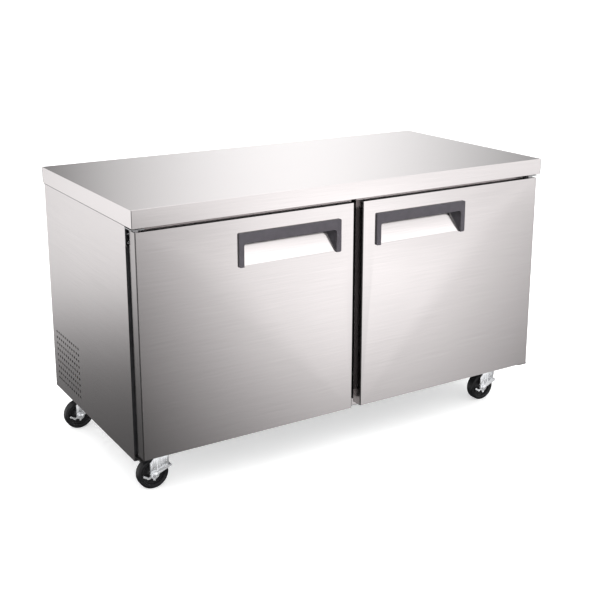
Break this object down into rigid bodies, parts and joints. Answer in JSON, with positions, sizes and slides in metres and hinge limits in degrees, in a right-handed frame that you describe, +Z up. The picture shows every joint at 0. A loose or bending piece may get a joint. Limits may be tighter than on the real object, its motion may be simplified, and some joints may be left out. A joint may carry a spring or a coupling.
{
  "type": "under counter fridge",
  "caption": "Stainless undercounter refrigerator with a flat worktop, side-by-side hinged doors with recessed grips, and braked swivel casters.",
  "frame": {"origin": "on the floor, under the middle of the cabinet and worktop; the worktop is centred on it exactly, and the rear left wheel, at rest in its trailing place, reaches 12 mm past the worktop's left edge", "axes": "+X to the right as seen from the doors, along the width; +Y to the back, away from the doors; +Z up"},
  "size_m": [1.542, 0.762, 0.905],
  "materials": {
    "stainless": "satin",
    "galvanised": "satin",
    "foam": "matte",
    "lining": "satin",
    "zinc": "satin",
    "rail_steel": "satin",
    "shelf_wire": "satin",
    "white_panel": "satin",
    "fins": "satin",
    "fan_plastic": "matte",
    "motor_enamel": "satin",
    "white_plastic": "satin",
    "black_plastic": "satin",
    "handle_plastic": "satin",
    "seal": "matte",
    "compressor_enamel": "gloss",
    "copper": "satin",
    "box_enamel": "satin",
    "wheel_black": "satin"
  },
  "bodies": {
    "cabinet": {"worktop": "stainless", "worktop_core": "foam", "side_panel_left": "stainless", "side_panel_right": "stainless", "back_panel": "galvanised", "rear_grille": "galvanised", "base_pan": "galvanised", "cabinet_insulation": "foam", "inner_liner": "lining", "front_frame": "stainless", "centre_mullion": "stainless", "hinge_brackets": "zinc", "fasteners": "zinc", "shelf_standards": "rail_steel", "shelf_clips": "zinc", "shelf_upper_left": "shelf_wire", "shelf_upper_right": "shelf_wire", "shelf_lower_left": "shelf_wire", "shelf_lower_right": "shelf_wire", "evaporator_cover": "white_panel", "evaporator_coil": "fins", "evaporator_fan_motors": "motor_enamel", "evaporator_drain_pan": "lining", "thermostat": "white_plastic", "unit_tray": "galvanised", "compressor": "compressor_enamel", "condenser_coil": "fins", "condenser_fan_motor": "motor_enamel", "refrigerant_lines": "copper", "filter_drier": "copper", "electrical_box": "box_enamel", "condensate_pan": "black_plastic", "power_inlet": "black_plastic", "caster_plates": "zinc"},
    "door_left": {"door_left_skin": "stainless", "door_left_foam": "foam", "door_left_liner": "white_plastic", "door_left_gasket": "seal", "door_left_handle": "handle_plastic"},
    "door_right": {"door_right_skin": "stainless", "door_right_foam": "foam", "door_right_liner": "white_plastic", "door_right_gasket": "seal", "door_right_handle": "handle_plastic"},
    "fan_left": {"evaporator_fan_left": "fan_plastic"},
    "fan_right": {"evaporator_fan_right": "fan_plastic"},
    "fan_condenser": {"condenser_fan": "fan_plastic"},
    "knob": {"thermostat_knob": "black_plastic"},
    "fork_front_left": {"caster_fork_front_left": "zinc"},
    "wheel_front_left": {"wheel_front_left": "wheel_black"},
    "brake_front_left": {"brake_front_left": "zinc"},
    "fork_front_right": {"caster_fork_front_right": "zinc"},
    "wheel_front_right": {"wheel_front_right": "wheel_black"},
    "brake_front_right": {"brake_front_right": "zinc"},
    "fork_rear_left": {"caster_fork_rear_left": "zinc"},
    "wheel_rear_left": {"wheel_rear_left": "wheel_black"},
    "brake_rear_left": {"brake_rear_left": "zinc"},
    "fork_rear_right": {"caster_fork_rear_right": "zinc"},
    "wheel_rear_right": {"wheel_rear_right": "wheel_black"},
    "brake_rear_right": {"brake_rear_right": "zinc"}
  },
  "joints": [
    {"name": "door_left_hinge", "type": "hinge", "parent": "cabinet", "child": "door_left", "pos_m": [-0.742, -0.353, 0.4925], "axis": [0, 0, -1], "range_deg": [0, 110], "stiffness_Nm_per_rad": 1.2, "springref_deg": -20.05},
    {"name": "door_right_hinge", "type": "hinge", "parent": "cabinet", "child": "door_right", "pos_m": [0.742, -0.353, 0.4925], "axis": [0, 0, 1], "range_deg": [0, 110], "stiffness_Nm_per_rad": 1.2, "springref_deg": -20.05},
    {"name": "fan_left_spin", "type": "hinge", "parent": "cabinet", "child": "fan_left", "pos_m": [-0.15, 0.232, 0.688], "axis": [0, -1, 0], "continuous": true},
    {"name": "fan_right_spin", "type": "hinge", "parent": "cabinet", "child": "fan_right", "pos_m": [0.15, 0.232, 0.688], "axis": [0, -1, 0], "continuous": true},
    {"name": "fan_condenser_spin", "type": "hinge", "parent": "cabinet", "child": "fan_condenser", "pos_m": [-0.661, 0.234, 0.245], "axis": [1, 0, 0], "continuous": true},
    {"name": "thermostat_turn", "type": "hinge", "parent": "cabinet", "child": "knob", "pos_m": [0.352, 0.234, 0.69], "axis": [0, -1, 0], "range_deg": [-135, 135]},
    {"name": "swivel_front_left", "type": "hinge", "parent": "cabinet", "child": "fork_front_left", "pos_m": [-0.657, -0.272, 0.115], "axis": [0, 0, 1], "continuous": true},
    {"name": "roll_front_left", "type": "hinge", "parent": "fork_front_left", "child": "wheel_front_left", "pos_m": [-0.687, -0.272, 0.05], "axis": [0, 1, 0], "continuous": true},
    {"name": "brake_front_left", "type": "hinge", "parent": "fork_front_left", "child": "brake_front_left", "pos_m": [-0.687, -0.272, 0.05], "axis": [0, 1, 0], "range_deg": [0, 18]},
    {"name": "swivel_front_right", "type": "hinge", "parent": "cabinet", "child": "fork_front_right", "pos_m": [0.657, -0.272, 0.115], "axis": [0, 0, 1], "continuous": true},
    {"name": "roll_front_right", "type": "hinge", "parent": "fork_front_right", "child": "wheel_front_right", "pos_m": [0.627, -0.272, 0.05], "axis": [0, 1, 0], "continuous": true},
    {"name": "brake_front_right", "type": "hinge", "parent": "fork_front_right", "child": "brake_front_right", "pos_m": [0.627, -0.272, 0.05], "axis": [0, 1, 0], "range_deg": [0, 18]},
    {"name": "swivel_rear_left", "type": "hinge", "parent": "cabinet", "child": "fork_rear_left", "pos_m": [-0.697, 0.265, 0.115], "axis": [0, 0, 1], "continuous": true},
    {"name": "roll_rear_left", "type": "hinge", "parent": "fork_rear_left", "child": "wheel_rear_left", "pos_m": [-0.727, 0.265, 0.05], "axis": [0, 1, 0], "continuous": true},
    {"name": "brake_rear_left", "type": "hinge", "parent": "fork_rear_left", "child": "brake_rear_left", "pos_m": [-0.727, 0.265, 0.05], "axis": [0, 1, 0], "range_deg": [0, 18]},
    {"name": "swivel_rear_right", "type": "hinge", "parent": "cabinet", "child": "fork_rear_right", "pos_m": [0.697, 0.265, 0.115], "axis": [0, 0, 1], "continuous": true},
    {"name": "roll_rear_right", "type": "hinge", "parent": "fork_rear_right", "child": "wheel_rear_right", "pos_m": [0.667, 0.265, 0.05], "axis": [0, 1, 0], "continuous": true},
    {"name": "brake_rear_right", "type": "hinge", "parent": "fork_rear_right", "child": "brake_rear_right", "pos_m": [0.667, 0.265, 0.05], "axis": [0, 1, 0], "range_deg": [0, 18]}
  ]
}
